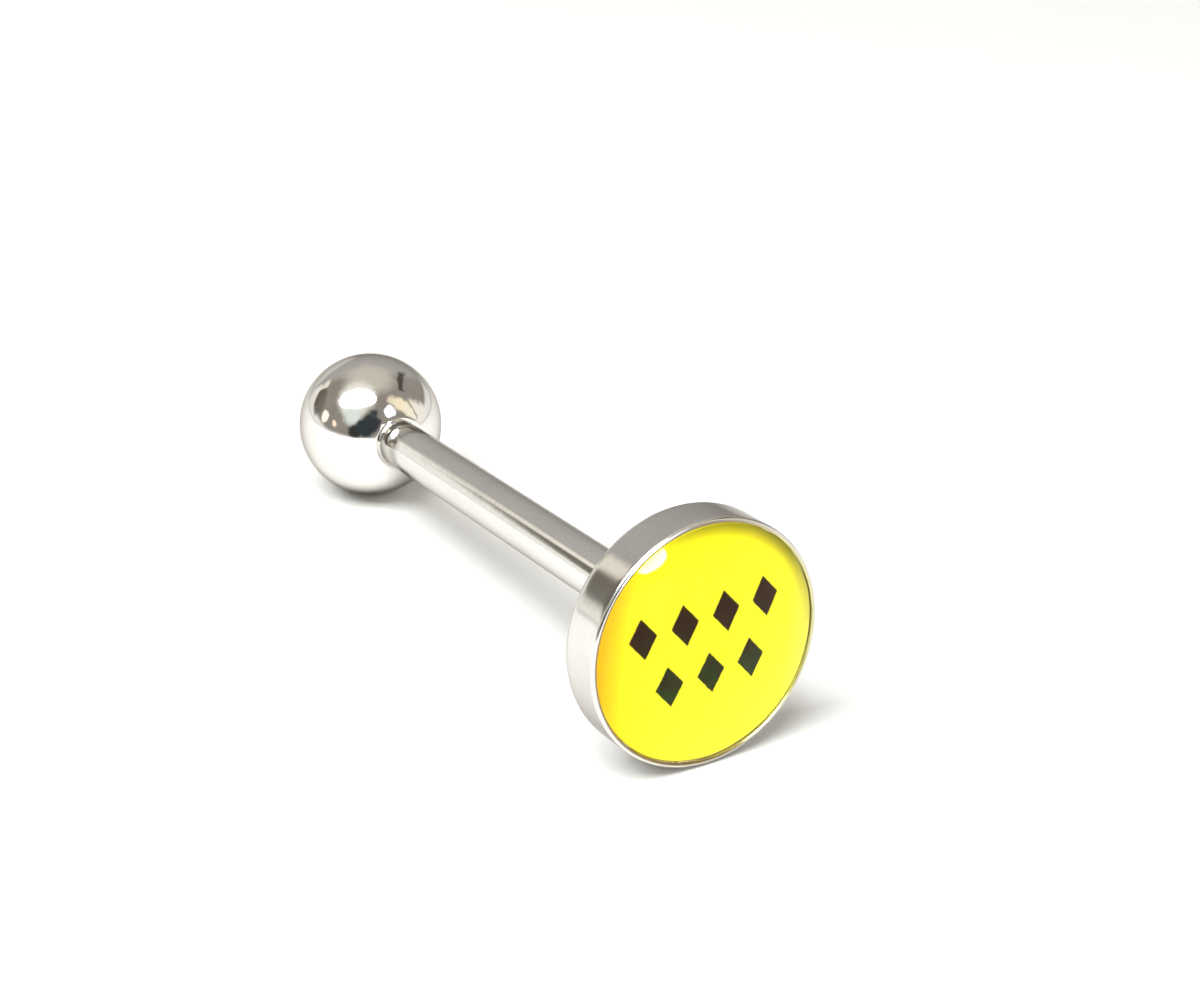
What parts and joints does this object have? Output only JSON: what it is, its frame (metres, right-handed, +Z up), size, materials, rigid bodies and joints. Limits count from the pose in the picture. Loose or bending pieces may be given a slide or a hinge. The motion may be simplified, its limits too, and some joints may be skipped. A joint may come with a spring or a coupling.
{
  "type": "tongue barbell",
  "caption": "Straight steel tongue barbell with a screw-off ball and a round cup that holds a printed disc under a clear resin dome.",
  "frame": {"origin": "on the surface that the barbell lies on, under the middle of its bounding box", "axes": "+X along the barbell on the surface, from the ball to the cup; +Z up. The bar leans up towards the cup by 3.4 degrees, because the cup is wider than the ball."},
  "size_m": [0.0244, 0.0074, 0.0075],
  "materials": {
    "polished_steel": "polished",
    "mirror_steel": "mirror polished",
    "turned_steel": "satin, with fine turning lines",
    "printed_disc": "printed card or film",
    "clear_resin": "clear cast resin, glossy"
  },
  "bodies": {
    "barbell": {"bar": "polished_steel", "cup": "turned_steel", "picture": "printed_disc", "resin_dome": "clear_resin"},
    "ball": {"ball": "mirror_steel"}
  },
  "joints": [
    {"name": "ball_unscrew", "type": "slide", "parent": "barbell", "child": "ball", "axis": [-0.9982, 0, -0.0592], "range_m": [0, 0.003]}
  ]
}
